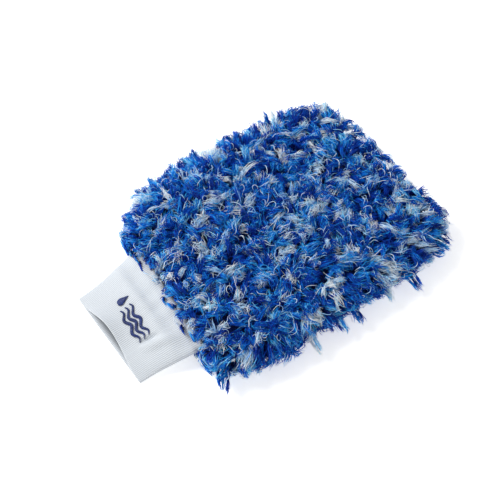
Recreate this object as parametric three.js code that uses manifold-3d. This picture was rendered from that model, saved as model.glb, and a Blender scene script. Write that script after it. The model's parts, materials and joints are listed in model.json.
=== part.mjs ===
// A plush wash mitt lying flat: a pile bag with a lining, sewn to a double-ply rib-knit cuff.
// Millimetres. +X points to the finger tip, the cuff is towards -X, +Y runs across, +Z is up.
// While modelling, x = 0 is the wrist hinge line where the cuff is sewn on; the last lines
// move the whole mitt so that the origin is the middle of its footprint on the surface.
import * as THREE from "three";
import { ParametricGeometry } from "three/addons/geometries/ParametricGeometry.js";
import { mergeVertices } from "three/addons/utils/BufferGeometryUtils.js";
import Module from "manifold-3d";

const wasm = await Module();
wasm.setup();

// Bag
const TIP_X = 240;
const WIDEST_X = 92;
const WIDEST_HALF = 98;
const TIP_HALF = 93;
const TIP_POWER = 10;
const TIP_STEPS = 40;
const RIM_X = 2.4;
const RIM_HALF = 68;
const MID_Z = 19;
const CROWN = 27;
const BASE_DEPTH = 22;
const CROWN_POWER = 4.6;
const BAG_CENTRE_X = 122;

// Pocket and lining
const POCKET_HALF = 5;
const LINING = 1.2;
const SHELL_INSET = 20;
const SEAM_SPACE = 4.3;
const LINING_START_X = 14.6;
const GAP = 0.3;

// Neck, where the cuff's end turns inside the bag's rim
const NECK_HALF = 55.5;
const NECK_HEIGHT = 10.8;
const NECK_POWER = 8;
const NECK_STEPS = 48;
const NECK_END_X = 13.8;
const JOIN_SEAM_X = 11.2;
const JOIN_SEAM_HIGH = 4.5;
const JOIN_SEAM_SIDE = 4;

// Cuff
const CUFF_END_X = 5;
const MOUTH_X = -55;
const MOUTH_HALF = 46;
const JOIN_HALF = 53;
const MOUTH_HEIGHT = 16;
const JOIN_HEIGHT = 18;
const PLY = 1.2;
const WALL = 2.8;
const SIDE_WALL = 5.2;
const SECTION_POWER = 2.8;
const SIDE_SEAM = [44, 1.2, 3.6];
const SIDE_SEAM_X = -24;
const SIDE_SEAM_IN = 2.8;

// Stitched mark
const STITCH_HEIGHT = 0.8;
const MARK_X = -27;
const MARK_Y = -1.5;
const WAVE_LENGTH = 13;
const WAVE_COUNT = 2.5;
const WAVE_SWING = 1.6;
const WAVE_WIDTH = 2.4;
const WAVE_PITCH = 4.6;
const DROP_RADIUS = 3.2;
const DROP_POINT = 8;

const MERGE = 1e-4;
const FAR = 400;

const BLUE_PILE = { color: "#0d4fb4", roughness: 0.9, metalness: 0 };
const WHITE_LINING = { color: "#e6e9ee", roughness: 0.95, metalness: 0 };
const WHITE_RIB = { color: "#e9edf2", roughness: 0.9, metalness: 0 };
const WHITE_THREAD = { color: "#f2f4f6", roughness: 0.8, metalness: 0 };
const NAVY_THREAD = { color: "#1b2f6b", roughness: 0.5, metalness: 0 };

// A closed three.js geometry as a solid: its shared corners are merged and its flat faces dropped.
function solidOf(geometry) {
  const bare = geometry.clone();
  bare.deleteAttribute("normal");
  bare.deleteAttribute("uv");
  const merged = mergeVertices(bare, MERGE);
  const corners = merged.index.array;
  const kept = [];
  for (let i = 0; i < corners.length; i += 3) {
    const [a, b, c] = corners.slice(i, i + 3);
    if (a !== b && b !== c && c !== a) kept.push(a, b, c);
  }
  return new wasm.Manifold(
    new wasm.Mesh({
      numProp: 3,
      vertProperties: merged.attributes.position.array,
      triVerts: Uint32Array.from(kept),
    }),
  );
}

// The solid as a named mesh with its own material.
function meshOf(name, solid, finish) {
  const { vertProperties, triVerts } = solid.getMesh();
  const geometry = new THREE.BufferGeometry();
  geometry.setAttribute("position", new THREE.BufferAttribute(vertProperties, 3));
  geometry.setIndex(new THREE.BufferAttribute(triVerts, 1));
  geometry.computeVertexNormals();
  const mesh = new THREE.Mesh(geometry, new THREE.MeshStandardMaterial(finish));
  mesh.name = name;
  return mesh;
}

// A box between two corners.
function boxSolid(low, high) {
  const box = new THREE.BoxGeometry(high[0] - low[0], high[1] - low[1], high[2] - low[2]);
  box.translate((low[0] + high[0]) / 2, (low[1] + high[1]) / 2, (low[2] + high[2]) / 2);
  return solidOf(box);
}

function powerOf(value, power) {
  return Math.sign(value) * Math.abs(value) ** power;
}

// The bag seen from above, drawn inwards by an inset: round shoulders by a curve, then half a
// superellipse that narrows a little towards the finger tip.
function bagOutline(inset) {
  const rim = RIM_HALF - inset;
  const wide = WIDEST_HALF - inset;
  const reach = TIP_X - inset - WIDEST_X;
  const shape = new THREE.Shape();
  shape.moveTo(RIM_X, -rim);
  shape.bezierCurveTo(RIM_X + 14, -wide + 4, WIDEST_X - 42, -wide, WIDEST_X, -wide);
  for (let step = 1; step < TIP_STEPS; step += 1) {
    const turn = (step / TIP_STEPS - 0.5) * Math.PI;
    const along = Math.cos(turn) ** (2 / TIP_POWER);
    const half = wide - (WIDEST_HALF - TIP_HALF) * along;
    shape.lineTo(WIDEST_X + reach * along, half * powerOf(Math.sin(turn), 2 / TIP_POWER));
  }
  shape.lineTo(WIDEST_X, wide);
  shape.bezierCurveTo(WIDEST_X - 42, wide, RIM_X + 14, wide - 4, RIM_X, rim);
  shape.closePath();
  return shape;
}

// A cushion on the bag's outline: each ring is the outline drawn towards the bag's centre, and
// the height follows a superellipse, so the middle is nearly flat and the edge is round.
function cushion(crown) {
  const outline = bagOutline(0);
  const edge = new THREE.Vector2();
  return solidOf(
    new ParametricGeometry(
      (u, v, target) => {
        const tilt = (v - 0.5) * Math.PI;
        const ring = Math.abs(Math.cos(tilt)) ** (2 / CROWN_POWER);
        outline.getPointAt(u % 1, edge);
        target.set(
          BAG_CENTRE_X + (edge.x - BAG_CENTRE_X) * ring,
          edge.y * ring,
          MID_Z + crown * powerOf(Math.sin(tilt), 2 / CROWN_POWER),
        );
      },
      72,
      18,
    ),
  );
}

// The bag's outline with an inset, as a plate from one height to another and from firstX on.
function plate(inset, low, high, firstX) {
  const slab = new THREE.ExtrudeGeometry(bagOutline(inset), {
    depth: high - low,
    bevelEnabled: false,
    curveSegments: 9,
  });
  slab.translate(0, 0, low);
  return solidOf(slab).intersect(boxSolid([firstX, -FAR, -FAR], [FAR, FAR, FAR]));
}

// A flattened tube along X about the pocket's middle, with a nearly square-cornered section, so
// that the cuff's end can turn in it over its whole width.
function neckTube(firstX, lastX, half, height) {
  const section = new THREE.Shape();
  for (let step = 0; step < NECK_STEPS; step += 1) {
    const turn = (step / NECK_STEPS) * 2 * Math.PI;
    const across = half * powerOf(Math.cos(turn), 2 / NECK_POWER);
    const up = height * powerOf(Math.sin(turn), 2 / NECK_POWER);
    if (step === 0) section.moveTo(across, up);
    else section.lineTo(across, up);
  }
  section.closePath();
  const tube = new THREE.ExtrudeGeometry(section, { depth: lastX - firstX, bevelEnabled: false });
  tube.rotateX(Math.PI / 2);
  tube.rotateZ(Math.PI / 2);
  tube.translate(firstX, 0, MID_Z);
  return solidOf(tube);
}

const above = boxSolid([-FAR, -FAR, MID_Z + GAP / 2], [FAR, FAR, FAR]);
const below = boxSolid([-FAR, -FAR, 0], [FAR, FAR, MID_Z - GAP / 2]);

// The pile panels: the cushion split at mid height, hollowed for the lining bag and the neck.
function pilePanel(crown, side) {
  const reach = POCKET_HALF + LINING + GAP;
  const room = plate(SHELL_INSET, MID_Z - reach, MID_Z + reach, NECK_END_X - 0.1);
  const neck = neckTube(RIM_X - 1, NECK_END_X, NECK_HALF, NECK_HEIGHT);
  return cushion(crown).intersect(side).subtract(room).subtract(neck);
}

// The lining panels: a tray and its lid that meet at mid height, open at the neck.
function liningPanel(side) {
  const reach = POCKET_HALF + LINING;
  const outer = plate(SHELL_INSET + SEAM_SPACE, MID_Z - reach, MID_Z + reach, LINING_START_X);
  const inset = SHELL_INSET + SEAM_SPACE + LINING;
  const inner = plate(inset, MID_Z - POCKET_HALF, MID_Z + POCKET_HALF, LINING_START_X - 1);
  return outer.subtract(inner).intersect(side);
}

// The seam allowance round the bag, standing between the pile panels' rim and the lining.
function perimeterSeam() {
  const tall = POCKET_HALF;
  const outer = plate(SHELL_INSET + GAP, MID_Z - tall, MID_Z + tall, LINING_START_X + 6);
  const inset = SHELL_INSET + SEAM_SPACE - GAP;
  return outer.subtract(plate(inset, MID_Z - tall - 1, MID_Z + tall + 1, LINING_START_X));
}

// The overlocked ring at the wrist, between the cuff's end and the lining's edge.
function joinSeam() {
  const last = NECK_END_X - GAP;
  const ring = neckTube(JOIN_SEAM_X, last, NECK_HALF - GAP, NECK_HEIGHT - GAP);
  const hole = [NECK_HALF - JOIN_SEAM_SIDE, NECK_HEIGHT - JOIN_SEAM_HIGH];
  return ring.subtract(neckTube(JOIN_SEAM_X - 1, last + 1, ...hole));
}

// Half width, half height and middle height of the cuff's section at x. The cuff leaves the wrist
// level and comes straight down to lie on its mouth's lower edge.
function cuffSection(x) {
  const way = THREE.MathUtils.clamp(x / MOUTH_X, 0, 1);
  const height = THREE.MathUtils.lerp(JOIN_HEIGHT, MOUTH_HEIGHT, way);
  const floorGap = (MID_Z - JOIN_HEIGHT / 2) * (1 - way);
  return {
    half: THREE.MathUtils.lerp(JOIN_HALF, MOUTH_HALF, Math.sin((way * Math.PI) / 2)),
    tall: height / 2,
    middle: floorGap + height / 2,
  };
}

// A point of the cuff's fabric: x along it, an inset from its outer face, and a turn about it.
function cuffPoint(x, inset, turn, target) {
  const { half, tall, middle } = cuffSection(x);
  const inner = THREE.MathUtils.smoothstep(inset, PLY, WALL - PLY);
  const sideInset = inset + inner * (SIDE_WALL - WALL);
  return target.set(
    x,
    (half - sideInset) * powerOf(Math.cos(turn), 2 / SECTION_POWER),
    middle + (tall - inset) * powerOf(Math.sin(turn), 2 / SECTION_POWER),
  );
}

// Stations from one x to another at one inset.
function run(from, to, inset, steps) {
  return Array.from({ length: steps + 1 }, (_, i) => [from + ((to - from) * i) / steps, inset]);
}

// The rib-knit tube folded double: down the outer face, round the fold, back inside, and up and
// down the slit between its two plies, which is open at the sewn end.
function ribCuff() {
  const radius = WALL / 2;
  const turnX = MOUTH_X + radius;
  const fold = [1, 2, 3].map((step) => {
    const angle = (step / 4) * Math.PI;
    return [turnX - radius * Math.sin(angle), radius - radius * Math.cos(angle)];
  });
  const profile = [
    ...run(CUFF_END_X, turnX, 0, 9),
    ...fold,
    ...run(turnX, CUFF_END_X, WALL, 9),
    ...run(CUFF_END_X, turnX + PLY, WALL - PLY, 9),
    ...run(turnX + PLY, CUFF_END_X, PLY, 9),
  ];
  return solidOf(
    new ParametricGeometry(
      (u, v, target) => {
        const [x, inset] = profile[Math.round(u * profile.length) % profile.length];
        cuffPoint(x, inset, (v % 1) * 2 * Math.PI, target);
      },
      profile.length,
      44,
    ),
  );
}

// The seam allowance that closes the rib tube: a strip between the plies on the -Y side.
function cuffSideSeam() {
  const strip = new THREE.BoxGeometry(SIDE_SEAM[0], SIDE_SEAM[1], SIDE_SEAM[2], 14, 1, 1);
  strip.translate(SIDE_SEAM_X, 0, 0);
  const points = strip.getAttribute("position");
  for (let i = 0; i < points.count; i += 1) {
    const { half, middle } = cuffSection(points.getX(i));
    points.setY(i, points.getY(i) - half + SIDE_SEAM_IN);
    points.setZ(i, points.getZ(i) + middle);
  }
  return solidOf(strip);
}

// Height of the cuff's upper face above a point of the plan.
function cuffTop(x, y) {
  const { half, tall, middle } = cuffSection(x);
  const across = Math.min(Math.abs(y) / half, 1);
  return middle + tall * (1 - across ** SECTION_POWER) ** (1 / SECTION_POWER);
}

// A flat stitched shape, raised from the cuff's upper face and bent to follow it.
function stitched(shape) {
  const pad = new THREE.ExtrudeGeometry(shape, {
    depth: STITCH_HEIGHT,
    bevelEnabled: false,
    curveSegments: 16,
  });
  const points = pad.getAttribute("position");
  for (let i = 0; i < points.count; i += 1) {
    const lift = cuffTop(points.getX(i), points.getY(i)) + GAP;
    points.setZ(i, points.getZ(i) + lift);
  }
  return solidOf(pad);
}

// A wave that runs across the cuff, one of a stack along it.
function wave(level) {
  const steps = 40;
  const length = WAVE_LENGTH * WAVE_COUNT;
  const edge = (side) =>
    Array.from({ length: steps + 1 }, (_, i) => {
      const along = (i / steps) * length;
      const swing = WAVE_SWING * Math.sin((along / WAVE_LENGTH) * 2 * Math.PI);
      const taper = Math.sin(Math.PI * THREE.MathUtils.clamp(i / steps, 0.04, 0.96)) ** 0.5;
      return new THREE.Vector2(
        MARK_X + level * WAVE_PITCH + swing + (side * WAVE_WIDTH * taper) / 2,
        MARK_Y - length / 2 + along,
      );
    });
  return stitched(new THREE.Shape([...edge(1), ...edge(-1).reverse()]));
}

// A drop beside the waves: a round end drawn out to a point across the cuff.
function waterDrop() {
  const shape = new THREE.Shape();
  const middle = MARK_Y + (WAVE_LENGTH * WAVE_COUNT) / 2 + DROP_RADIUS + 3;
  const lean = 0.9;
  const reach = DROP_RADIUS * Math.cos(lean);
  shape.moveTo(MARK_X + DROP_POINT, middle);
  shape.lineTo(MARK_X + DROP_RADIUS * Math.sin(lean), middle + reach);
  shape.absarc(MARK_X, middle, DROP_RADIUS, Math.PI / 2 - lean, lean - Math.PI / 2, false);
  shape.closePath();
  return stitched(shape);
}

const mitt = new THREE.Group();
mitt.add(
  meshOf("top_pile_panel", pilePanel(CROWN, above), BLUE_PILE),
  meshOf("bottom_pile_panel", pilePanel(BASE_DEPTH, below), BLUE_PILE),
  meshOf("top_lining", liningPanel(above), WHITE_LINING),
  meshOf("bottom_lining", liningPanel(below), WHITE_LINING),
  meshOf("perimeter_seam", perimeterSeam(), WHITE_THREAD),
  meshOf("cuff_join_seam", joinSeam(), WHITE_THREAD),
  meshOf("rib_cuff", ribCuff(), WHITE_RIB),
  meshOf("cuff_side_seam", cuffSideSeam(), WHITE_THREAD),
  meshOf("stitched_wave_upper", wave(1), NAVY_THREAD),
  meshOf("stitched_wave_middle", wave(0), NAVY_THREAD),
  meshOf("stitched_wave_lower", wave(-1), NAVY_THREAD),
  meshOf("stitched_drop", waterDrop(), NAVY_THREAD),
);

mitt.position.x = -(TIP_X + MOUTH_X) / 2;

export default mitt;
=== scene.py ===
"""A plush wash mitt lying flat: blue and cream microfibre pile on a lined bag, with a white rib-knit cuff.

Every surface is worked out with numpy. Lengths are in metres, and MM turns millimetres into metres.
+X points to the finger tip, the cuff is at -X, and z = 0 is what the mitt lies on. The wrist hinge line is
where the cuff is sewn on, and places along the mitt are given from it.
"""
import json
import math

import bpy
import numpy as np
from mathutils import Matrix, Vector


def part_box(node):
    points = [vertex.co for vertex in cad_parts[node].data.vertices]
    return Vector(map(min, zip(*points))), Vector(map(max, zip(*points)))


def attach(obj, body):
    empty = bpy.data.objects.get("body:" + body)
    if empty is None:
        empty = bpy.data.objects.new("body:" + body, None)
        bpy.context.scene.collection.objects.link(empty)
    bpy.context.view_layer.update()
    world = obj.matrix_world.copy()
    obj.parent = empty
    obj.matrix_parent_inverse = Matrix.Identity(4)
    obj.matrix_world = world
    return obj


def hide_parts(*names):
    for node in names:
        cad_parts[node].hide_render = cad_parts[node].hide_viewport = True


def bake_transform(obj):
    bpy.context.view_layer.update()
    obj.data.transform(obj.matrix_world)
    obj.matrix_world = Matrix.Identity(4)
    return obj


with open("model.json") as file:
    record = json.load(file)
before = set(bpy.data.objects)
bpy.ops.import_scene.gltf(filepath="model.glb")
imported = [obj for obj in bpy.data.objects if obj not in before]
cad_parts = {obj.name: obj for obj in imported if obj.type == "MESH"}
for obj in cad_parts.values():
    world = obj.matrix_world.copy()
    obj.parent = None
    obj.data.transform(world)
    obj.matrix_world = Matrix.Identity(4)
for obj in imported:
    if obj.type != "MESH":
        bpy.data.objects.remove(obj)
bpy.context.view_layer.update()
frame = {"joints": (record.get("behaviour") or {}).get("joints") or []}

MM = 0.001
rng = np.random.default_rng(20)

# ---------------------------------------------------------------- places from the frame
bag_low, bag_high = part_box("top_pile_panel")
cuff_low, cuff_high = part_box("rib_cuff")
wave_low, wave_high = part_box("stitched_wave_middle")
drop_low, drop_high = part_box("stitched_drop")
hinge = Vector(frame["joints"][0]["pos_m"])
HINGE_X, MID_Z = hinge.x, hinge.z
TIP_X, WIDE = bag_high.x, bag_high.y
WIDEST_X = HINGE_X + 92 * MM
RIM_X, RIM_HALF = bag_low.x, 68 * MM
TIP_NARROW, TIP_POWER = 5 * MM, 10.0  # how far the sides close in, and how square the corners are
PILE_DEPTH = 17 * MM


# ---------------------------------------------------------------- meshes
def mesh_of(name, points, faces):
    """A smooth-shaded mesh from an array of points and an array of faces with equal corner counts."""
    corners = faces.shape[1]
    mesh = bpy.data.meshes.new(name)
    mesh.vertices.add(len(points))
    mesh.vertices.foreach_set("co", points.astype(np.float32).ravel())
    mesh.loops.add(faces.size)
    mesh.loops.foreach_set("vertex_index", faces.astype(np.int32).ravel())
    mesh.polygons.add(len(faces))
    mesh.polygons.foreach_set("loop_start", np.arange(0, faces.size, corners, dtype=np.int32))
    mesh.polygons.foreach_set("use_smooth", np.ones(len(faces), bool))
    mesh.update(calc_edges=True)
    return mesh


def piece_of(name, mesh, finish):
    """Puts a mesh in the scene as a piece and material."""
    piece = bpy.data.objects.new(name, mesh)
    bpy.context.scene.collection.objects.link(piece)
    piece.data.materials.append(finish)
    return piece


def grid_faces(rows, columns, wrap_rows, wrap_columns):
    """Quads between neighbours of a grid of points, joined end to end where it wraps."""
    row = np.arange(rows if wrap_rows else rows - 1)[:, None]
    column = np.arange(columns if wrap_columns else columns - 1)[None, :]
    next_row, next_column = (row + 1) % rows, (column + 1) % columns
    quads = [
        row * columns + column,
        row * columns + next_column,
        next_row * columns + next_column,
        next_row * columns + column,
    ]
    return np.stack(quads, axis=-1).reshape(-1, 4)


def set_map(mesh, places):
    """The mesh's own flat map, as a place for each corner of each face."""
    mesh.uv_layers.new(name="OFBake").data.foreach_set("uv", places.astype(np.float32).ravel())


def grid_map(mesh, rows, columns):
    """A flat map of a grid that closes both ways, by row and column. Its last strips run on to the edge."""
    corners = np.empty(len(mesh.loops), dtype=int)
    mesh.loops.foreach_get("vertex_index", corners)
    flat = []
    for index, count in ((corners % columns, columns), (corners // columns, rows)):
        index = index.reshape(-1, 4)
        closing = (index.max(axis=1, keepdims=True) == count - 1) & (index == 0)
        flat.append(np.where(closing, count, index).ravel() / count)
    set_map(mesh, np.stack(flat, axis=1))


def unit(vectors):
    """Each vector over its own length."""
    return vectors / np.maximum(np.linalg.norm(vectors, axis=-1, keepdims=True), 1e-12)


def power_of(values, power):
    """The size raised to a power, with the sign kept."""
    return np.sign(values) * np.abs(values) ** power


def smooth(values):
    """0 below 0, 1 above 1, and three t squared minus two t cubed between."""
    t = np.clip(values, 0, 1)
    return t * t * (3 - 2 * t)


def set_attribute(mesh, name, values):
    """One number for each point, for a material to read."""
    data = mesh.attributes.new(name, "FLOAT", "POINT").data
    data.foreach_set("value", np.asarray(values, np.float32).ravel())


def tubes(paths, radii, aside, sides):
    """Closed tubes along many paths at once. paths is strands x rings x 3, radii is strands x rings, and
    aside is a direction that stays off each path's own. Returns points, triangles, and a map that gives
    each strand a cell of its own."""
    strands, rings = radii.shape
    ahead = unit(np.gradient(paths, axis=1))
    side = unit(np.cross(ahead, aside))
    over = np.cross(ahead, side)
    turn = np.arange(sides) * 2 * math.pi / sides
    out = side[:, :, None] * np.cos(turn)[:, None] + over[:, :, None] * np.sin(turn)[:, None]
    points = paths[:, :, None] + out * radii[:, :, None, None]
    corner = []
    for ring in range(rings - 1):
        for edge in range(sides):
            corner += [[(ring, edge), (ring, edge + 1), (ring + 1, edge + 1)]]
            corner += [[(ring, edge), (ring + 1, edge + 1), (ring + 1, edge)]]
    for edge in range(1, sides - 1):
        corner += [[(0, edge + 1), (0, edge), (0, 0)]]
        corner += [[(rings - 1, 0), (rings - 1, edge), (rings - 1, edge + 1)]]
    corner = np.array(corner)
    local = corner[..., 0] * sides + corner[..., 1] % sides
    faces = (np.arange(strands)[:, None, None] * rings * sides + local).reshape(-1, 3)
    cells = math.ceil(math.sqrt(strands))
    cell = np.stack([np.arange(strands) % cells, np.arange(strands) // cells], axis=1)
    margin = 0.1
    spread = np.stack([corner[..., 0] / (rings - 1), corner[..., 1] / sides], axis=-1)
    chart = (cell[:, None, None, :] + margin + (1 - 2 * margin) * spread) / cells
    return points.reshape(-1, 3), faces, chart.reshape(-1, 2)


def strand_piece(name, finish, paths, radii, tone, aside, sides=3):
    """A piece made of many strands, with each strand's shade and each point's place along its strand."""
    points, faces, chart = tubes(paths, radii, aside, sides)
    mesh = mesh_of(name, points, faces)
    rings = radii.shape[1]
    set_attribute(mesh, "tone", np.repeat(tone, rings * sides))
    set_attribute(mesh, "along", np.tile(np.repeat(np.linspace(0, 1, rings), sides), len(tone)))
    set_map(mesh, chart)
    return piece_of(name, mesh, finish)


def cloth_of(outer, inner):
    """A sheet with a thickness: its outer and inner faces on the same grid, joined round all four edges."""
    rows, columns = outer.shape[:2]
    points = np.concatenate([outer.reshape(-1, 3), inner.reshape(-1, 3)])
    index = np.arange(rows * columns).reshape(rows, columns)
    rim = np.concatenate([index[0, :-1], index[:-1, -1], index[-1, :0:-1], index[:0:-1, 0]])
    after = np.roll(rim, -1)
    count = rows * columns
    face = grid_faces(rows, columns, False, False)
    edge = np.stack([after, rim, rim + count, after + count], axis=1)
    return points, np.concatenate([face, face[:, ::-1] + count, edge])


# ---------------------------------------------------------------- materials
WAVE_PERIOD = 0.314  # the wave texture's own, at scale 1
STITCH_MM = 1.2
BLUE_SHADES = [(0.1, "#011c7c"), (0.4, "#0149c2"), (0.6, "#047ee8"), (0.82, "#3cbcfa"), (1.0, "#a8e4fe")]
CREAM_SHADES = [(0.1, "#80c0fc"), (0.42, "#b4defe"), (0.72, "#e6f5ff"), (0.95, "#ffffff")]
YARN_SHADES = [(0.1, "#7cc0fb"), (0.45, "#bce2fe"), (0.9, "#eef8ff")]
# The rib knit's colours from groove to ridge: the darker end is painted shade in the grooves between ribs.
RIB_SHADES = [(0.0, "#abb3bb"), (0.5, "#c7cdd3"), (1.0, "#dbdfe4")]


def linear(code):
    """A hex colour as linear red, green, blue and 1."""
    parts = [int(code[i : i + 2], 16) / 255 for i in (1, 3, 5)]
    return [c / 12.92 if c <= 0.04045 else ((c + 0.055) / 1.055) ** 2.4 for c in parts] + [1.0]


def add_node(tree, kind, settings=None, links=None):
    """A node of a kind, with its properties and socket values set and its inputs linked."""
    node = tree.nodes.new(kind)
    for key, value in (settings or {}).items():
        if isinstance(key, str) and hasattr(node, key):
            setattr(node, key, value)
        else:
            node.inputs[key].default_value = value
    for key, socket in (links or {}).items():
        tree.links.new(socket, node.inputs[key])
    return node


def new_material(name, shader_settings):
    """An empty node material with its Principled shader, returned as (material, tree, shader)."""
    material = bpy.data.materials.new(name)
    material.use_nodes = True
    tree = material.node_tree
    shader = tree.nodes["Principled BSDF"]
    for key, value in shader_settings.items():
        shader.inputs[key].default_value = value
    return material, tree, shader


def ramp(tree, factor, stops):
    """A colour ramp through hex colours at their places."""
    node = add_node(tree, "ShaderNodeValToRGB", links={"Fac": factor})
    elements = node.color_ramp.elements
    while len(elements) < len(stops):
        elements.new(0.5)
    for element, (place, code) in zip(elements, stops):
        element.position = place
        element.color = linear(code)
    return node.outputs["Color"]


def pile_fibre(name, stops, root_shade_code, root_shade_until):
    """Split microfibre, cut and brushed: dyed all through, matt but silky along the fibre. Painted shade
    darkens each strand towards its root, where the locks shade each other, and a painted highlight lightens
    it towards its tip.
    Tone sets each strand's shade."""
    material, tree, shader = new_material(
        name, {"Roughness": 0.65, "Sheen Weight": 0.04, "Sheen Roughness": 0.35, "Specular IOR Level": 0.1}
    )
    tone = add_node(tree, "ShaderNodeAttribute", {"attribute_name": "tone"})
    along = add_node(tree, "ShaderNodeAttribute", {"attribute_name": "along"})
    place = add_node(tree, "ShaderNodeTexCoord")
    streak = add_node(
        tree, "ShaderNodeTexNoise", {"Scale": 420.0, "Detail": 2.0}, {"Vector": place.outputs["Object"]}
    )
    shade = add_node(
        tree,
        "ShaderNodeMath",
        {"operation": "MULTIPLY_ADD", 1: 0.3},
        {0: streak.outputs["Fac"], 2: tone.outputs["Fac"]},
    )
    # Painted highlight: strands get lighter over the last part towards their tips.
    painted_tip_highlight = add_node(
        tree,
        "ShaderNodeMapRange",
        {"From Min": 0.6, "From Max": 1.0, "To Min": 0.0, "To Max": 0.2},
        {"Value": along.outputs["Fac"]},
    )
    shade = add_node(
        tree, "ShaderNodeMath", {"operation": "ADD"}, {0: shade.outputs[0], 1: painted_tip_highlight.outputs[0]}
    )
    # Painted shade: each strand blends into its root colour towards the root, where the locks shade each
    # other.
    depth = add_node(
        tree,
        "ShaderNodeMapRange",
        {"From Min": 0.0, "From Max": root_shade_until, "To Min": 0.0, "To Max": 1.0},
        {"Value": along.outputs["Fac"]},
    )
    mix = add_node(
        tree,
        "ShaderNodeMix",
        {"data_type": "RGBA", 6: linear(root_shade_code)},
        {0: depth.outputs[0], 7: ramp(tree, shade.outputs[0], stops)},
    )
    tree.links.new(mix.outputs[2], shader.inputs["Base Color"])
    return material


def thread(name, low_code, high_code, roughness, sheen):
    """Twisted filament thread: a little brighter and darker from stitch to stitch, and satin."""
    material, tree, shader = new_material(
        name, {"Roughness": roughness, "Sheen Weight": sheen, "Specular IOR Level": 0.45}
    )
    tone = add_node(tree, "ShaderNodeAttribute", {"attribute_name": "tone"})
    shade = ramp(tree, tone.outputs["Fac"], [(0.0, low_code), (1.0, high_code)])
    tree.links.new(shade, shader.inputs["Base Color"])
    return material


def knit(name, low_code, high_code, loop, loop_depth):
    """Circular-knitted cloth: small loops in rows, matt, with a faint sheen. A loop's own length sets a
    wave each way on Object coordinates, and the loops stand where both waves are high."""
    material, tree, shader = new_material(
        name, {"Roughness": 0.92, "Sheen Weight": 0.3, "Sheen Roughness": 0.5}
    )
    place = add_node(tree, "ShaderNodeTexCoord")
    rows = [
        add_node(
            tree,
            "ShaderNodeTexWave",
            {"bands_direction": direction, "Scale": WAVE_PERIOD / loop, "Distortion": 1.2, "Detail": 1.0},
            {"Vector": place.outputs["Object"]},
        )
        for direction in ("X", "Y")
    ]
    loops = add_node(
        tree,
        "ShaderNodeMath",
        {"operation": "MULTIPLY"},
        {0: rows[0].outputs["Fac"], 1: rows[1].outputs["Fac"]},
    )
    tree.links.new(
        ramp(tree, loops.outputs[0], [(0.0, low_code), (0.8, high_code)]), shader.inputs["Base Color"]
    )
    bump = add_node(
        tree, "ShaderNodeBump", {"Strength": 0.8, "Distance": loop_depth}, {"Height": loops.outputs[0]}
    )
    tree.links.new(bump.outputs[0], shader.inputs["Normal"])
    return material


# ---------------------------------------------------------------- the bag's shape
def bag_outline():
    """Half the bag's plan from the rim to the middle of the tip: a cubic curve for the shoulder, then a
    quarter of a superellipse that narrows a little. Returned as the share of its length gone, x and half
    width."""
    t = np.linspace(0, 1, 400)[:, None]
    hold = np.array(
        [[RIM_X, RIM_HALF], [RIM_X + 14 * MM, WIDE - 4 * MM], [WIDEST_X - 42 * MM, WIDE], [WIDEST_X, WIDE]]
    )
    shoulder = (1 - t) ** 3 * hold[0] + 3 * t * (1 - t) ** 2 * hold[1]
    shoulder = shoulder + 3 * t**2 * (1 - t) * hold[2] + t**3 * hold[3]
    turn = np.linspace(math.pi / 2, 0, 4000)[1:]
    reach = np.cos(turn) ** (2 / TIP_POWER)
    tip_x = WIDEST_X + (TIP_X - WIDEST_X) * reach
    tip_y = (WIDE - TIP_NARROW * reach) * np.sin(turn) ** (2 / TIP_POWER)
    edge = np.concatenate([shoulder, np.stack([tip_x, tip_y], axis=1)])
    gone = np.concatenate([[0], np.cumsum(np.linalg.norm(np.diff(edge, axis=0), axis=1))])
    return gone / gone[-1], edge[:, 0], edge[:, 1]


OUTLINE = bag_outline()
GROUND_INSET, TIP_INSET = 13.5 * MM, 9.5 * MM  # the ground cloth's, from the outline over the pile
SWAY, TIP_SLANT, TIP_CLOSING = 4.5 * MM, 0.1, 8
NECK_LONG = 46 * MM
NECK_IN, SHOULDER_IN = 6.5 * MM, 6 * MM
NECK_ASIDE, SHOULDER_ASIDE = 1.5 * MM, 12 * MM
GROUND = {"inset": GROUND_INSET, "first": 8.5 * MM, "top": 10 * MM, "bottom": 13.5 * MM, "power": 3.2}


def bag_layer(share, turn, inset, first, top, bottom, power):
    """A layer of the bag as a loft along X. At a share of the outline, drawn in by an inset, the section
    is a superellipse about mid height. The neck is drawn in and lies to -Y, and the shoulder behind it
    more so. The height closes at the tip as the square root of one minus the way there to a power. The
    rest of the bag lies a little to +Y, and its tip runs a little aslant."""
    reach = (np.interp(share, *OUTLINE[:2]) - WIDEST_X) / (TIP_X - WIDEST_X)
    tip_inset = inset - GROUND_INSET + TIP_INSET
    x = WIDEST_X + reach * (TIP_X - WIDEST_X - np.where(reach > 0, tip_inset, 0))
    x = np.maximum(x, HINGE_X + first) + 0 * turn
    half = np.interp(share, OUTLINE[0], OUTLINE[2]) * (1 - inset / WIDE)
    neck = 1 - smooth((x - HINGE_X) / NECK_LONG)
    half = half - (NECK_IN + SHOULDER_IN * (1 - neck)) * neck
    tipward = smooth((x - WIDEST_X) / (TIP_X - WIDEST_X))
    closing = np.sqrt(np.clip(1 - np.clip(reach, 0, 1) ** TIP_CLOSING, 0.0004, 1))
    y = half * power_of(np.cos(turn), 2 / power) + SWAY * (1 - neck) * (1 - 0.5 * tipward)
    y = y - (NECK_ASIDE + SHOULDER_ASIDE * (1 - neck)) * neck
    x = x - TIP_SLANT * y * tipward
    height = power_of(np.sin(turn), 2 / power) * closing
    z = MID_Z + np.where(height > 0, height * top, height * bottom)
    return np.stack([x, y, z], axis=-1)


def ground_normal(share, turn):
    """The ground cloth's outward normal, from small steps either way."""
    step = 1e-3
    share = np.clip(share, step, 1 - 2 * step)
    along = bag_layer(share + step, turn, **GROUND) - bag_layer(share - step, turn, **GROUND)
    across = bag_layer(share, turn + step, **GROUND) - bag_layer(share, turn - step, **GROUND)
    return unit(np.cross(across, along))


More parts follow.
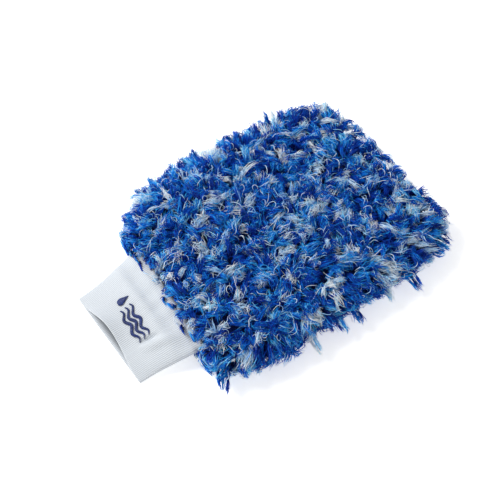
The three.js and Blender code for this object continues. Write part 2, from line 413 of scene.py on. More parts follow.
def waves_field(points, length, phase):
    """A smooth field from -1 to 1 that changes over a length: three sine waves in different directions."""
    k = 2 * math.pi / length
    x, y, z = points[..., 0] * k, points[..., 1] * k, points[..., 2] * k
    first = np.sin(x + 0.6 * y + phase) + np.sin(1.31 * y - 0.5 * x + 2.1 * phase + 0.7 * z)
    return (first + np.sin(0.83 * x + 1.17 * y + 1.7 * phase - z)) / 3


def edge_of(share, turn):
    """How near a place is to the bag's edge, from 0 on its faces to 1."""
    return np.maximum(smooth((np.abs(np.cos(turn)) - 0.55) / 0.4), smooth((share - 0.8) / 0.08))


GOLDEN_STEPS = (0.5698402910, 0.7548776662)  # of the two-dimensional golden sequence
MORE_AT_EDGE, MORE_AT_RIM, RIM_SHARE = 0.9, 1.6, 0.035
UNDER_BELOW = -0.3


def scatter(count, offset, under_share):
    """Places spread evenly over the ground cloth: a two-dimensional golden sequence, bent so that each
    equal share of it covers an equal area, with fewer underneath and more at the edge, where the pile
    fans out, and at the rim. Returns shares and turns."""
    rows, columns, inside = 240, 240, 0.999999
    shares = np.linspace(0.004, 0.996, rows + 1)
    turns = np.linspace(0, 2 * math.pi, columns + 1)
    places = bag_layer(shares[:, None], turns[None, :], **GROUND)
    along = np.diff(places, axis=0)[:, :-1]
    across = np.diff(places, axis=1)[:-1]
    area = np.linalg.norm(np.cross(across, along), axis=-1) + 1e-14
    area = area * np.where(np.sin(turns[:-1]) < UNDER_BELOW, under_share, 1.0)
    crowd = MORE_AT_EDGE * edge_of(shares[:-1, None], turns[None, :-1])
    area = area * (1 + crowd + MORE_AT_RIM * (shares[:-1, None] < RIM_SHARE))
    gone = np.concatenate([[0], np.cumsum(area.sum(1))]) / area.sum()
    index = np.arange(count)
    row_at = np.interp((offset + index * GOLDEN_STEPS[0]) % 1, gone, np.arange(rows + 1))
    row = np.minimum(row_at.astype(int), rows - 1)
    filled = np.concatenate([np.zeros((rows, 1)), np.cumsum(area, axis=1)], axis=1)
    filled = filled / filled[:, -1:] * inside + np.arange(rows)[:, None]
    column = (offset + index * GOLDEN_STEPS[1]) % 1
    turn = np.interp(column * inside + row, filled.ravel(), np.tile(turns, rows))
    return np.interp(row_at, np.arange(rows + 1), shares), turn


# ---------------------------------------------------------------- pile
LOCKS = 2800
STRANDS = 22
RINGS = 5
SHOWN_FROM = 0.2
FLOOR_GAP = 0.6 * MM
GOLDEN_ANGLE = math.pi * (3 - math.sqrt(5))
STRAND_TAPER = np.array([1.0, 1.0, 1.0, 0.85, 0.3])
STRANDS_IN_PIECE = 9500
# Where stray tufts end, in mm from the wrist along the mitt and from its middle. They hang low at the
# corners and along the -Y side, and stand up along the +Y side.
LOW_TUFTS = [(4, -92), (237, -88), (224, 88), (192, -101), (166, -102), (132, -100), (116, -100), (89, -102)]
HIGH_TUFTS = [(x, 95) for x in (137, 127, 97, 74, 53, 174, 108, 85)]
LOW, HIGH = 11 * MM, 34 * MM


def soft_floor(z):
    """Keeps heights above the surface the mitt lies on: near it they flatten out."""
    soft, sink = 2.2 * MM, 0.35
    return FLOOR_GAP + soft * np.logaddexp(0, (z - FLOOR_GAP) / soft - sink)


def locks_on(share, turn):
    """Locks of pile: each stands up from the ground cloth along its normal and bends over with the lay.
    About half are plump and the rest are drawn out to a point. They tilt over the cuff at the rim, point
    outwards at the edge, and are pressed short underneath. A few are stray tufts that reach past the
    outline. Returned as a dictionary of arrays, one row for each lock."""
    count = len(share)
    root = bag_layer(share, turn, **GROUND)
    normal = ground_normal(share, turn)
    spiky = rng.random((count, 1)) < 0.5
    lay = 2.4 * waves_field(root, 75 * MM, 0.4) * math.pi + rng.normal(0, 1.5, count)
    flat = np.stack([np.cos(lay), np.sin(lay), rng.normal(-0.1, 0.4, count)], axis=1)
    rim = 1 - smooth((root[:, :1] - HINGE_X) / (20 * MM))
    edge = edge_of(share, turn)[:, None]
    normal = unit(normal - np.array([0.75, 0, 0]) * rim**2)
    outwards = unit((root - [WIDEST_X, 0, MID_Z]) * [1, 1, 0.1])
    flat = flat * (1 - 0.45 * edge) + outwards * 0.85 * edge
    flat = flat * (1 - 0.6 * rim) + np.array([0.1, 0, 0.1]) * rim
    lean = unit(flat - normal * np.sum(flat * normal, axis=1, keepdims=True))
    under = np.clip(-normal[:, 2:], 0, 1)
    beside = 1 - np.abs(normal[:, 2:])
    high = PILE_DEPTH * rng.uniform(0.66, 1.04, (count, 1)) * (1 + 0.12 * beside) * (1 - 0.72 * under)
    high = high * (1 - 0.3 * rim) * (1 + 0.13 * waves_field(root, 27 * MM, 1.1)[:, None])
    drift = rng.uniform(5, 16, (count, 1)) * MM * (1 + 0.3 * under) * (1 - 0.5 * rim)
    belly = np.where(spiky, rng.uniform(2.2, 3.4, (count, 1)), rng.uniform(2.8, 4.4, (count, 1))) * MM
    tip = np.where(spiky, rng.uniform(-0.35, -0.1, (count, 1)), rng.uniform(0.15, 0.6, (count, 1)))
    reach = np.where(spiky, rng.uniform(1.05, 1.25, (count, 1)), rng.uniform(0.92, 1.06, (count, 1)))
    reach[rng.random(count) < 0.04] *= 1.25
    for tufts, height, swing in ((LOW_TUFTS, LOW, 10 * MM), (HIGH_TUFTS, HIGH, 6 * MM)):
        for x, y in tufts:
            end = np.array([HINGE_X + x * MM, y * MM, height])
            near = np.argsort(np.linalg.norm((root - end) * [1, 1, 0.3], axis=1))[:3]
            lean[near] = unit(end - root[near])
            reach[near], tip[near], belly[near], drift[near] = 1.2, -0.4, 2.6 * MM, swing
    lock = {"root": root, "normal": normal, "lean": lean, "side": np.cross(normal, lean)}
    return lock | {"high": high, "drift": drift, "belly": belly, "tip": tip, "reach": reach}


def strands_of(lock):
    """Every strand of every lock as paths: locks x strands x rings x 3. The lock's middle line rises with
    the sine and drifts with one minus the cosine of the way along. Strands lie about it in a bundle that
    swells and then narrows to its tip. Each wanders and curls by itself. The hidden root isn't drawn."""
    count = len(lock["root"])
    high, drift = lock["high"][:, :, None], lock["drift"][:, :, None]
    s = np.linspace(SHOWN_FROM, 1.0, RINGS) * rng.uniform(0.7, 1.05, (count, STRANDS, 1))
    s = s * lock["reach"][:, None]
    bend = np.clip(s, 0, 1.25) * math.pi / 2
    rise = np.sin(np.minimum(bend, math.pi / 2)) ** 0.85
    away = 1 - np.cos(bend)
    droop = 0.2 * np.clip(s - 0.45, 0, 1) ** 2
    middle = (
        lock["root"][:, None, None]
        + lock["normal"][:, None, None] * ((rise - droop) * high)[..., None]
        + lock["lean"][:, None, None] * (away * drift)[..., None]
    )
    turn = np.arange(STRANDS) * GOLDEN_ANGLE + rng.uniform(0, 2 * math.pi, (count, 1))
    twist = rng.normal(0, 0.9, (count, 1, 1)) + rng.normal(0, 0.8, (count, STRANDS, 1))
    angle = turn[:, :, None] + twist * s
    spread = np.sqrt((np.arange(STRANDS) + 0.5) / STRANDS)[None, :, None]
    swell = 0.3 + 1.55 * s**0.7 * np.clip(1.12 - s, 0, 1) ** 0.45
    bundle = np.maximum(swell * (1 - s) + (0.3 + lock["tip"][:, :, None]) * s + 0.25, 0.06)
    wide = lock["belly"][:, :, None] * spread * bundle
    tilt = lock["lean"][:, None, None] * rise[..., None]
    tilt = tilt - lock["normal"][:, None, None] * (away * 0.8)[..., None]
    path = middle + lock["side"][:, None, None] * (np.cos(angle) * wide)[..., None]
    path = path + tilt * (np.sin(angle) * wide)[..., None]
    wander = rng.normal(0, 1, (count, STRANDS, 1, 3))
    wander = wander * rng.choice([0.6, 1.7], (count, STRANDS, 1, 1), p=[0.75, 0.25])
    frizz = np.linspace(0.2, 1.3, RINGS)[None, None, :, None] * 0.45
    path = path + (rng.normal(0, 1, path.shape) * frizz + wander * s[..., None] ** 1.3) * MM
    phase = rng.uniform(0, 2 * math.pi, (count, STRANDS, 1)) + 6.5 * s
    curl = rng.gamma(2.0, 0.5, (count, STRANDS, 1)) * 0.75 * MM
    path = path + lock["side"][:, None, None] * (np.sin(phase) * curl)[..., None]
    path = path + tilt * (np.cos(phase) * curl)[..., None]
    path = clear_of_cuff(path)
    path[..., 2] = soft_floor(path[..., 2])
    return path


def clear_of_cuff(path):
    """Keeps strands out of the cuff's fabric: a point over it is no lower than just above its upper face,
    and a point under it no higher than just below its lower one. Strands are combed back at the rim."""
    rim_x, gap = HINGE_X + 3.5 * MM, 0.6 * MM
    path[..., 0] = np.maximum(path[..., 0], rim_x + 0.3 * (path[..., 0] - rim_x))
    x, y, z = (path[..., axis] for axis in range(3))
    half, middle, above, below = cuff_section(x, y)
    arch = (1 - np.clip(np.abs(y - cuff_aside(x)) / half, 0, 1) ** CUFF_POWER) ** (1 / CUFF_POWER)
    near = (x < cuff_high.x + 5 * MM) & (arch > 0)
    moved = np.where(
        z > middle, np.maximum(z, middle + above * arch + gap), np.minimum(z, middle - below * arch - gap)
    )
    path[..., 2] = np.where(near, moved, z)
    return path


def make_pile():
    """All the locks, in blue and cream pieces small enough to keep every strand. Blue locks turn cream in
    patches, with strands of both colours round each patch, the blue ones paler. Returns the pieces."""
    share, turn = scatter(LOCKS, 0.5, 0.48)
    root = bag_layer(share, turn, **GROUND)
    count = len(share)
    patch = 1.3 * waves_field(root, 34 * MM, 2.3) + 0.5 * waves_field(root, 17 * MM, 0.9)
    cream_share = smooth((patch + rng.normal(0, 0.13, count) - 0.3) / 0.36)
    lock = locks_on(share, turn)
    paths = strands_of(lock).reshape(-1, RINGS, 3)
    cream = rng.random((count, STRANDS)) < 0.9 * smooth(cream_share * 1.7 - 0.55)[:, None]
    tone = 0.23 + 0.14 * waves_field(root, 41 * MM, 0.7)[:, None] + 0.55 * cream_share[:, None]
    tone = tone + rng.normal(0, 0.17, (count, 1)) + rng.normal(0, 0.16, (count, STRANDS))
    tone = np.clip(np.where(cream, tone - 0.3, tone), 0, 0.85)
    # Painted highlight: a few strands are set to the top of the ramp as glints on single fibres.
    tone[rng.random((count, STRANDS)) < 0.02] = 1.0
    cream, tone = cream.ravel(), tone.ravel()
    radii = rng.uniform(0.23, 0.4, (len(paths), 1)) * MM * STRAND_TAPER
    radii[cream] *= 0.9
    aside = np.repeat(lock["side"], STRANDS, axis=0) + 0.2 * rng.normal(size=(len(paths), 3))
    # The root colours are painted shade: navy at the roots of blue strands, and mid blue, as bluish shade,
    # at the roots of cream ones.
    blue_finish = pile_fibre("blue microfibre pile", BLUE_SHADES, "#001a70", 0.5)
    cream_finish = pile_fibre("cream microfibre pile", CREAM_SHADES, "#4f93de", 0.5)
    made = []
    for colour, chosen, finish in (("blue", ~cream, blue_finish), ("cream", cream, cream_finish)):
        index = np.flatnonzero(chosen)
        index = index[np.argsort(paths[index, 0, 0])]
        parts = np.array_split(index, math.ceil(len(index) / STRANDS_IN_PIECE))
        for number, part in enumerate(parts, 1):
            name = f"{colour}_pile_{number}"
            piece = strand_piece(
                name, finish, paths[part], radii[part], tone[part], aside[part, None]
            )
            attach(piece, "mitt")
            made.append(piece)
    return made


EFFECT_THREADS = 920
EFFECT_RINGS = 10


def make_effect_threads():
    """Fine pale curly threads that lie loose over the pile. Each starts in the pile, comes up to its
    surface and wanders over it: its direction turns at a steady rate with a little noise, so it makes
    hooks and open curls. They come in small groups that set off together."""
    group = 4
    share, turn = scatter(EFFECT_THREADS // group, 0.13, 0.4)
    share, turn = np.repeat(share, group), np.repeat(turn, group)
    share = np.clip(share + rng.normal(0, 0.008, len(share)), 0.004, 0.99)
    turn = turn + rng.normal(0, 0.02, len(turn))
    count = len(share)
    normal = ground_normal(share, turn)
    under = np.clip(-normal[:, 2], 0, 1)
    depth = PILE_DEPTH * rng.uniform(0.42, 0.9, count) * (1 - 0.72 * under)
    start = bag_layer(share, turn, **GROUND) + normal * depth[:, None]
    first = unit(np.cross(normal, np.array([0.3, 0.2, 1.0]) + 0 * normal))
    second = np.cross(normal, first)
    s = np.linspace(0, 1, EFFECT_RINGS)
    length = rng.uniform(5, 16, (count, 1)) * MM
    heading = np.repeat(rng.uniform(0, 2 * math.pi, count // group), group) + rng.normal(0, 0.8, count)
    curl = rng.normal(0, 1.5, (count, 1)) + rng.normal(0, 4.0, (count, 1)) * (rng.random((count, 1)) < 0.2)
    angle = heading[:, None] + curl * s + np.cumsum(rng.normal(0, 0.2, (count, EFFECT_RINGS)), axis=1)
    step = length / (EFFECT_RINGS - 1)
    east = np.cumsum(np.cos(angle) * step, axis=1)
    north = np.cumsum(np.sin(angle) * step, axis=1)
    lift = 4.2 * MM * np.sin(s * math.pi * rng.uniform(0.7, 1.2, (count, 1))) * (1 - 0.8 * under[:, None])
    path = start[:, None] + first[:, None] * east[..., None] + second[:, None] * north[..., None]
    path = path + normal[:, None] * lift[..., None]
    path = clear_of_cuff(path)
    path[..., 2] = soft_floor(path[..., 2])
    radii = rng.uniform(0.2, 0.33, (count, 1)) * MM * np.interp(s, [0, 0.1, 0.8, 1], [0.7, 1, 0.9, 0.4])
    # The root colour is painted shade, blue where the threads sink into the pile.
    finish = pile_fibre("pale effect yarn", YARN_SHADES, "#2f86e0", 0.3)
    tone = np.clip(rng.normal(0.5, 0.25, count), 0, 1)
    piece = strand_piece("pale_effect_threads", finish, path, radii, tone, normal[:, None])
    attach(piece, "mitt")
    return piece


# ---------------------------------------------------------------- bag cloths and their seams
CLOTH_ROWS, CLOTH_COLUMNS = 90, 48


def bag_cloth(name, start, shape, thickness):
    """Half a layer of the bag as a sheet, over the half turn from its start, with a slight ripple. The
    inner face is the same layer drawn in by the thickness. Rows are closer together at the tip."""
    share = np.linspace(0, 0.998, CLOTH_ROWS)[:, None]
    share = share * (2 - share) * 0.5 + 0.5 * share
    turn = start + np.linspace(0.004, math.pi - 0.004, CLOTH_COLUMNS)[None, :]
    inner = shape | {key: shape[key] - thickness for key in ("top", "bottom")}
    inner["inset"] = shape["inset"] + thickness
    ripple = 0.25 * MM * waves_field(bag_layer(share, turn, **shape), 31 * MM, start)
    faces = [bag_layer(share, turn, **side) for side in (shape, inner)]
    for face in faces:
        face[..., 2] += ripple
    return mesh_of(name, *cloth_of(*faces))


def make_bag_cloths():
    """The two knitted ground cloths that carry the pile, and the two lining cloths inside them. A layer's
    upper half goes over turns from 0 to pi and its lower half from pi to 2 pi."""
    navy = knit("navy knitted backing", "#082878", "#1148ac", 1.3 * MM, 0.2 * MM)
    white = knit("white tricot lining", "#c9ced8", "#f1f3f6", 1.1 * MM, 0.12 * MM)
    ground = GROUND | {"first": 11 * MM}
    lining = {"inset": 24.6 * MM, "first": 15 * MM, "top": 5.8 * MM, "bottom": 5.8 * MM, "power": 5.0}
    layers = [
        ("ground_cloth", "pile_panel", "pile", navy, ground, 1.0 * MM, (0.232, 0.196), 0.038),
        ("lining_cloth", "lining", "lining", white, lining, 0.7 * MM, (0.162, 0.2), 0.0298),
    ]
    for layer, node, slot_name, finish, shape, thickness, flat, area in layers:
        for half, start in (("top", 0.0), ("bottom", math.pi)):
            mesh = bag_cloth(f"{half}_{layer}", start, shape, thickness)
            piece = piece_of(f"{half}_{layer}", mesh, finish)
            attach(piece, "mitt")
            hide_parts(f"{half}_{node}")


def overlock(path, out, up, across, tall, pitch, radius, name, finish):
    """Overlock stitching as one thread wound round a seam allowance: the seam's path plus a turn of an
    ellipse in the plane of its two side directions, advancing by the pitch."""
    rings_per_turn, sides = 10, 5
    gone = np.concatenate([[0], np.cumsum(np.linalg.norm(np.diff(path, axis=0), axis=1))])
    rings = int(gone[-1] / pitch) * rings_per_turn
    at = np.linspace(0, gone[-1], rings)
    turn = at[:, None] * 2 * math.pi / pitch
    middle, out, up = (
        np.stack([np.interp(at, gone, values[:, axis]) for axis in range(3)], axis=1)
        for values in (path, out, up)
    )
    round_it = out * np.cos(turn) * across + up * np.sin(turn) * tall
    thread_path, radii, tone = (middle + round_it)[None], np.full((1, rings), radius), np.array([0.6])
    return strand_piece(name, finish, thread_path, radii, tone, round_it[None], sides)


def make_edge_seam(finish):
    """The overlocked seam round the bag's edge: the outline drawn in, at mid height, and back again."""
    inset = 21.9 * MM
    share = np.linspace(0.09, 0.9995, 400)
    side = np.stack([np.interp(share, *OUTLINE[:2]), np.interp(share, OUTLINE[0], OUTLINE[2])], axis=1)
    reach = np.clip((side[:, :1] - WIDEST_X) / (TIP_X - WIDEST_X), 0, 1)
    side = side - np.concatenate([reach * inset, side[:, 1:] * inset / WIDE], axis=1)
    side = np.concatenate([side, side[::-1] * [1, -1]])
    path = np.concatenate([side, np.full((len(side), 1), MID_Z)], axis=1)
    up = np.tile([0.0, 0, 1], (len(path), 1))
    out = unit(np.cross(np.gradient(path, axis=0), up))
    piece = overlock(path, out, up, 1.3 * MM, 3.6 * MM, 2.6 * MM, 0.22 * MM, "edge_overlock", finish)
    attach(piece, "mitt")
    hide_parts("perimeter_seam")


def make_wrist_seam(finish):
    """The overlocked ring that joins the bag, its lining and the cuff: a superellipse about the wrist."""
    half, tall, power = 52 * MM, 8.2 * MM, 6
    turn = np.linspace(0, 2 * math.pi, 400)
    ring = [half * power_of(np.cos(turn), 2 / power), tall * power_of(np.sin(turn), 2 / power)]
    path = np.stack([np.full(len(turn), HINGE_X + 12.3 * MM), ring[0], MID_Z + ring[1]], axis=1)
    along = np.tile([1.0, 0, 0], (len(turn), 1))
    out = unit(np.cross(np.gradient(path, axis=0), along))
    piece = overlock(path, out, along, 1.2 * MM, 1.2 * MM, 2.2 * MM, 0.2 * MM, "wrist_overlock", finish)
    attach(piece, "mitt")
    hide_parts("cuff_join_seam")


# ---------------------------------------------------------------- cuff
MOUTH_X = cuff_low.x
JOIN_HALF, MOUTH_HALF = cuff_high.y, 47.2 * MM
JOIN_TALL, MOUTH_TALL = 9 * MM, 2.75 * MM
PLY = 1.15 * MM
WALL = 2 * PLY + 0.1 * MM
CUFF_POWER = 2.8
RIBS = 134
RIB_DEPTH = 0.3 * MM
COLUMNS_PER_RIB = 5


def bump_over(values, middle, reach):
    """A smooth hill: the squared cosine of the distance from its middle, and nothing past its reach."""
    return np.cos(np.clip((values - middle) / reach, -1, 1) * math.pi / 2) ** 2


def mouthward(x):
    """How far x is on the way from the wrist to the cuff's mouth, from 0 to 1."""
    return np.clip((HINGE_X - x) / (HINGE_X - MOUTH_X), 0, 1)


def cuff_aside(x):
    """How far the cuff's middle line has swung to +Y at x: a sine of the way to its mouth."""
    return 2 * MM * np.sin(mouthward(x) * math.pi / 2)


def cuff_relief(x, y):
    """How far the cuff's upper face stands off its plain section. A crease runs in beside the mark, with
    a fold beyond it. The face dips where the bag's pile presses on it and swells before that. It ripples
    a little, and it is gathered at the bag."""
    way = mouthward(x)
    beside = y + 0.25 * (x - HINGE_X)
    crease = 3.8 * MM * bump_over(beside, -25.5 * MM, 4 * MM) * bump_over(x, HINGE_X - 25 * MM, 13 * MM)
    fold = 2.4 * MM * bump_over(beside, -31.5 * MM, 6.5 * MM) * bump_over(x, HINGE_X - 22 * MM, 22 * MM)
    dip = 2.8 * MM * bump_over(x + 0.1 * y, HINGE_X - 3 * MM, 10 * MM)
    swell = 1.2 * MM * bump_over(x, HINGE_X - 14 * MM, 8 * MM)
    ripple = 0.9 * MM * np.sin(x / (6 * MM) + y / (13 * MM)) * np.sin(y / (11 * MM)) * smooth(way * 4)
    gather = (0.35 + 0.5 * smooth(-y / (40 * MM))) * MM * smooth(1 - way * 2.6)
    gather = gather * np.sin(y / (2.6 * MM) + 1.2 * np.sin(y / (9 * MM)))
    return fold - crease + swell - dip + ripple + gather


def cuff_section(x, y):
    """The cuff's outer section at x: half width, height of its side edges, and how far its top stands
    above them and its bottom below. It comes down from the wrist to lie on its mouth, where the upper
    fabric lifts in a low arch off the lower one."""
    way = mouthward(x)
    half = JOIN_HALF + (MOUTH_HALF - JOIN_HALF) * np.sin(way * math.pi / 2)
    bottom = (MID_Z - JOIN_TALL) * (1 - way) ** 1.7
    tall = JOIN_TALL + (MOUTH_TALL - JOIN_TALL) * way**0.8
    arch = 8.0 * MM * bump_over(y, 14 * MM, 33 * MM) * way**2.2
    return half, bottom + tall, tall + arch + cuff_relief(x, y), tall


def cuff_point(x, inset, turn):
    """A point of the cuff's fabric: x along it, an inset from its outer face, and a turn about it. The
    section is a superellipse with its own height above and below. The mouth is cut a little aslant, and
    its upper lip is drawn back in the middle."""
    y_near = MOUTH_HALF * power_of(np.cos(turn), 2 / CUFF_POWER) + cuff_aside(x)
    half, middle, above, below = cuff_section(x, y_near)
    up = power_of(np.sin(turn), 2 / CUFF_POWER)
    y = (half - inset) * power_of(np.cos(turn), 2 / CUFF_POWER)
    z = middle + up * np.maximum(np.where(up > 0, above, below) - inset, 0.15 * MM)
    slant = (0.5 * MM + 0.062 * (MOUTH_HALF - y)) * mouthward(x) ** 2
    back = 5.2 * MM * bump_over(y, 2 * MM, 46 * MM) * np.clip(up, 0, 1) * mouthward(x) ** 3
    return np.stack([x + slant + back + 0 * y, y + cuff_aside(x), z], axis=-1)


def rib_turns():
    """Turns about the cuff at equal steps of its girth, several to a rib, from the seam on its -Y side.
    Returned with the girth."""
    turn = np.linspace(-math.pi, math.pi, 4001)
    loop = cuff_point(np.full(len(turn), HINGE_X - 20 * MM), 0.0, turn)
    gone = np.concatenate([[0], np.cumsum(np.linalg.norm(np.diff(loop, axis=0), axis=1))])
    share = np.arange(RIBS * COLUMNS_PER_RIB) / (RIBS * COLUMNS_PER_RIB)
    return np.interp(share * gone[-1], gone, turn), gone[-1]


def rib_knit():
    """One-by-one rib knit in white cotton and elastane: columns of small V stitches on each rib, matt and
    soft, with painted shade, a cooler darker colour, down in the grooves between ribs. The inner ply is
    painted darker grey past the fold, as shade inside the cuff."""
    material, tree, shader = new_material(
        "white rib knit",
        {"Roughness": 0.88, "Sheen Weight": 0.25, "Sheen Roughness": 0.5, "Specular IOR Level": 0.3},
    )
    # Painted shade: darker in the grooves between ribs, lighter on the ridges.
    painted_groove_shade = add_node(tree, "ShaderNodeAttribute", {"attribute_name": "painted_groove_shade"})
    around = add_node(tree, "ShaderNodeAttribute", {"attribute_name": "around"})
    along = add_node(tree, "ShaderNodeAttribute", {"attribute_name": "length"})
    lean = add_node(
        tree,
        "ShaderNodeMath",
        {"operation": "MULTIPLY_ADD", 1: 0.5},
        {0: around.outputs["Fac"], 2: along.outputs["Fac"]},
    )
    place = add_node(tree, "ShaderNodeCombineXYZ", links={"Y": lean.outputs[0]})
    stitches = add_node(
        tree,
        "ShaderNodeTexWave",
        {"bands_direction": "Y", "Scale": WAVE_PERIOD / STITCH_MM, "Distortion": 0.0},
        {"Vector": place.outputs[0]},
    )
    spot = add_node(tree, "ShaderNodeTexCoord")
    fuzz = add_node(
        tree, "ShaderNodeTexNoise", {"Scale": 900.0, "Detail": 3.0}, {"Vector": spot.outputs["Object"]}
    )
    height = add_node(
        tree,
        "ShaderNodeMath",
        {"operation": "MULTIPLY_ADD", 1: 0.6},
        {0: fuzz.outputs["Fac"], 2: stitches.outputs["Fac"]},
    )
    bump = add_node(
        tree, "ShaderNodeBump", {"Strength": 0.45, "Distance": 0.1 * MM}, {"Height": height.outputs[0]}
    )
    shade = add_node(
        tree,
        "ShaderNodeMath",
        {"operation": "MULTIPLY_ADD", 1: 0.12},
        {0: stitches.outputs["Fac"], 2: painted_groove_shade.outputs["Fac"]},
    )
    colour = ramp(tree, shade.outputs[0], RIB_SHADES)
    # Painted shade: the inner ply mixes towards dark grey past the fold, as the shadow inside the cuff.
    painted_inner_shade = add_node(tree, "ShaderNodeAttribute", {"attribute_name": "painted_inner_shade"})
    mix = add_node(
        tree,
        "ShaderNodeMix",
        {"data_type": "RGBA", 7: linear("#565b61")},
        {0: painted_inner_shade.outputs["Fac"], 6: colour},
    )
    tree.links.new(mix.outputs[2], shader.inputs["Base Color"])
    tree.links.new(bump.outputs[0], shader.inputs["Normal"])
    return material


def make_cuff():
    """The rib-knit tube folded double. Its profile runs down the outer face, round the fold at the mouth,
    back inside, and up and down the slit between its plies. The profile is carried round the section,
    and ribs stand out of both faces as a squared cosine of the girth."""
    turn, girth = rib_turns()
    radius = WALL / 2
    end, fold_x = cuff_high.x + 5 * MM, MOUTH_X + radius
    arc = np.linspace(0, math.pi, 9)[1:-1]
    down = np.linspace(end, fold_x, 34)
    back, slit, slit_back = down[::-2], down[::3], down[::-3]
    closing = PLY * smooth((end - slit_back) / (50 * MM))
    runs = [
        (down, 0 * down, 0 * down + 1),
        (fold_x - radius * np.sin(arc), radius * (1 - np.cos(arc)), np.cos(arc)),
        (back, 0 * back + WALL, 0 * back - 1),
        (slit, 0 * slit + WALL - PLY, 0 * slit),
        (slit_back + closing, 0 * slit_back + PLY, 0 * slit_back),
    ]
    x, inset, face = (np.concatenate([run[i] for run in runs])[:, None] for i in range(3))
    rows, columns = len(x), len(turn)
    rib = np.arange(columns) / COLUMNS_PER_RIB
    ridge = np.cos(rib * math.pi) ** 2
    points = cuff_point(x, inset + RIB_DEPTH * (0.5 - ridge[None, :]) * face, turn[None, :])
    mesh = mesh_of("knit_cuff", points.reshape(-1, 3), grid_faces(rows, columns, True, True))
    grid_map(mesh, rows, columns)
    # Painted shade inside the cuff: 0 at the fold, rising to 1 on the inner ply within 6 mm past it.
    painted_inner_shade = smooth((x - fold_x) / (6 * MM)) * (face < 0)
    # Painted shade in the grooves: lowest between ribs, highest on their ridges.
    set_attribute(mesh, "painted_groove_shade", 0.15 + 0.75 * ridge + 0 * face)
    set_attribute(mesh, "painted_inner_shade", painted_inner_shade + 0 * ridge)
    set_attribute(mesh, "around", np.tile(np.abs((rib + 0.5) % 1 - 0.5) * girth / RIBS / MM, rows))
    set_attribute(mesh, "length", np.repeat(x.ravel() / MM, columns))
    piece = piece_of("knit_cuff", mesh, rib_knit())
    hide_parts("rib_cuff")
    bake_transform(piece)


def cuff_top(x, y):
    """Height of the cuff's upper face above a place in the plan."""
    half, middle, above = cuff_section(x, y)[:3]
    across = np.clip(np.abs(y - cuff_aside(x)) / half, 0, 1)
    return middle + above * (1 - across**CUFF_POWER) ** (1 / CUFF_POWER)


# ---------------------------------------------------------------- stitched mark
def satin(name, node, finish, lines):
    """Satin stitch: parallel threads laid edge to edge across a shape, each arched over it. lines is
    stitches x 2 x 2, the two ends of each thread in the plan."""
    s = np.linspace(-1, 1, 9)
    plan = lines[:, :1] * (1 - s[None, :, None]) / 2 + lines[:, 1:] * (1 + s[None, :, None]) / 2
    dome = 0.35 * MM + 0.45 * MM * np.sqrt(np.clip(1.02 - s**2, 0, 1))
    height = cuff_top(plan[..., 0], plan[..., 1]) + dome
    path = np.concatenate([plan, height[..., None]], axis=-1)
    radii = np.full(path.shape[:2], 0.21 * MM)
    tone = rng.uniform(0.2, 0.9, len(lines))
    up = np.array([[[0.0, 0.0, 1.0]]])
    piece = strand_piece(name, finish, path, radii, tone, up, 6)
    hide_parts(node)
    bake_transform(piece)


def make_waves(finish):
    """Three waves. A wave's threads lie square to its line, which is a sine across the cuff, and shorten
    towards both ends."""
    swings, swing, apart, half_line = 2.5, 1.6 * MM, 4.6 * MM, 1.25 * MM
    middle_x = (wave_low.x + wave_high.x) / 2
    start, length = wave_low.y, wave_high.y - wave_low.y
    at = np.linspace(0.01, 0.99, 100)
    phase = at * swings * 2 * math.pi
    slope = swing * np.cos(phase) * swings * 2 * math.pi / length
    square = unit(np.stack([np.ones(len(at)), -slope], axis=1))
    wide = half_line * np.sin(np.pi * np.clip(at, 0.03, 0.97)) ** 0.5
    for place, row in (("upper", 1), ("middle", 0), ("lower", -1)):
        line = np.stack([middle_x + row * apart + swing * np.sin(phase), start + at * length], axis=1)
        ends = np.stack([line - square * wide[:, None], line + square * wide[:, None]], axis=1)
        satin(f"satin_wave_{place}", f"stitched_wave_{place}", finish, ends)


def make_drop(finish):
    """A drop beside the waves. Its threads run across it, in a round part and then a point."""
    round_share = 0.33
    across = np.linspace(0.03, 0.97, 30)
    reach = drop_low.x + across * (drop_high.x - drop_low.x)
    round_part = np.sqrt(np.clip(1 - (1 - across / round_share) ** 2, 0, 1))
    taper = np.where(across < round_share, round_part, (1 - across) / (1 - round_share)) ** 0.9
    half = (drop_high.y - drop_low.y) / 2 * taper
    middle_y = (drop_low.y + drop_high.y) / 2
    ends = np.stack([np.stack([reach, middle_y - half], 1), np.stack([reach, middle_y + half], 1)], axis=1)
    satin("satin_drop", "stitched_drop", finish, ends)


def make_cuff_seam(finish):
    """The short overlocked seam that closes the rib tube, between its plies on the -Y side."""
    x = np.linspace(HINGE_X - 3 * MM, HINGE_X - 45 * MM, 60)
    half, middle = cuff_section(x, 0 * x - 40 * MM)[:2]
    path = np.stack([x, cuff_aside(x) - half + 1.2 * MM, middle], axis=1)
    up, out = np.tile([0.0, 0, 1], (len(x), 1)), np.tile([0.0, 1, 0], (len(x), 1))
    piece = overlock(path, out, up, 0.35 * MM, 0.9 * MM, 2.2 * MM, 0.16 * MM, "cuff_seam_overlock", finish)
    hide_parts("cuff_side_seam")
    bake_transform(piece)


# ---------------------------------------------------------------- stage
def look_at(place, target):
    """The rotation that points a camera or a lamp from a place to a target."""
    return (target - place).to_track_quat("-Z", "Y").to_euler()


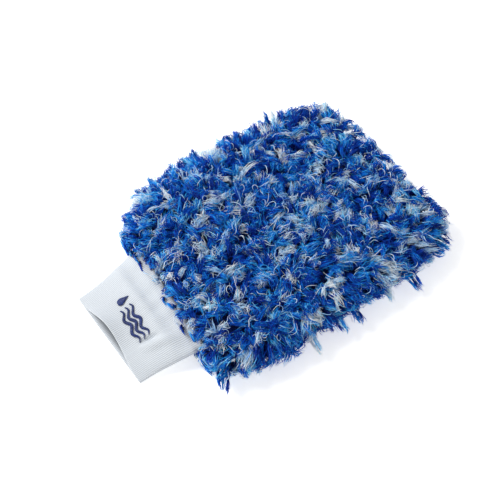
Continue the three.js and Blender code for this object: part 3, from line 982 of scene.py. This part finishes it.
def add_camera():
    """A camera with mild perspective, 0.8 m away, 33.5 degrees round to the cuff's side and 63.5 up."""
    turn, rise, away = math.radians(-33.5), math.radians(63.5), 0.8
    back = Vector((math.sin(turn) * math.cos(rise), -math.cos(turn) * math.cos(rise), math.sin(rise)))
    target = Vector((-2.5 * MM, 0, 20 * MM))
    camera = bpy.data.objects.new("camera", bpy.data.cameras.new("camera"))
    camera.data.lens = 66.8
    camera.data.sensor_width = 36
    camera.location = target + back * away
    camera.rotation_euler = look_at(camera.location, target)
    bpy.context.scene.collection.objects.link(camera)
    bpy.context.scene.camera = camera


def add_lamp(name, place, size, power, colour):
    """A square soft box that faces the mitt."""
    lamp = bpy.data.lights.new(name, "AREA")
    lamp.size = size
    lamp.energy = power
    lamp.color = linear(colour)[:3]
    holder = bpy.data.objects.new(name, lamp)
    holder.location = Vector(place)
    holder.rotation_euler = look_at(holder.location, Vector((0, 0, 0.02)))
    bpy.context.scene.collection.objects.link(holder)


def add_stage():
    """A pale plain floor, soft boxes and an even white surround."""
    half = 6.0
    corners = np.array([[-half, -half, 0], [half, -half, 0], [half, half, 0], [-half, half, 0]])
    pale = linear("#fafafa")
    table = {"Roughness": 0.9, "Base Color": pale, "Emission Color": pale, "Emission Strength": 0.5}
    material = new_material("opal light table", table)[0]
    floor = bpy.data.objects.new("floor", mesh_of("floor", corners, np.array([[0, 1, 2, 3]])))
    floor.data.materials.append(material)
    bpy.context.scene.collection.objects.link(floor)
    add_lamp("key_softbox", (-0.7, 0.9, 1.3), 0.62, 25.0, "#ffffff")
    add_lamp("fill_softbox", (0.9, -0.9, 1.1), 1.2, 1.5, "#ffffff")
    world = bpy.data.worlds.new("studio")
    world.use_nodes = True
    world.node_tree.nodes["Background"].inputs[0].default_value = linear("#ffffff")
    world.node_tree.nodes["Background"].inputs[1].default_value = 0.5
    bpy.context.scene.world = world
    bpy.context.scene.view_settings.view_transform = "Standard"


white_thread = thread("white polyester overlock thread", "#d9dde4", "#f7f8fa", 0.55, 0.2)
navy_thread = thread("navy rayon embroidery thread", "#0a1742", "#1d3a86", 0.38, 0.1)
add_stage()
add_camera()
pile = make_pile() + [make_effect_threads()]
make_bag_cloths()
make_edge_seam(white_thread)
make_wrist_seam(white_thread)
make_cuff()
make_cuff_seam(white_thread)
make_waves(navy_thread)
make_drop(navy_thread)
